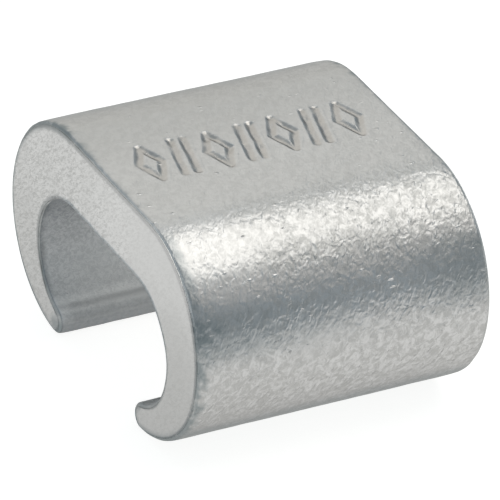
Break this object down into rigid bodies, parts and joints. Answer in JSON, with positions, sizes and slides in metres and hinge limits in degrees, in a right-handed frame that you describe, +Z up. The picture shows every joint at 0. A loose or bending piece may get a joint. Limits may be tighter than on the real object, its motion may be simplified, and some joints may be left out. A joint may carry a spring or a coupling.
{
  "type": "c-type tap connector",
  "caption": "C-shaped compression tap connector with two round conductor seats, a thick flat back and two inturned lips around an open mouth.",
  "frame": {"origin": "middle of the footprint, on the ground under the two lips", "axes": "X crosses the mouth from lobe to lobe, Y runs along both conductor seats, +Z up from the lips to the back"},
  "size_m": [0.0196, 0.0156, 0.0115],
  "materials": {
    "tinned_copper": "tin-plated, tumbled satin with a fine hammered grain"
  },
  "bodies": {
    "root": {"clamp_body": "tinned_copper"}
  },
  "joints": []
}
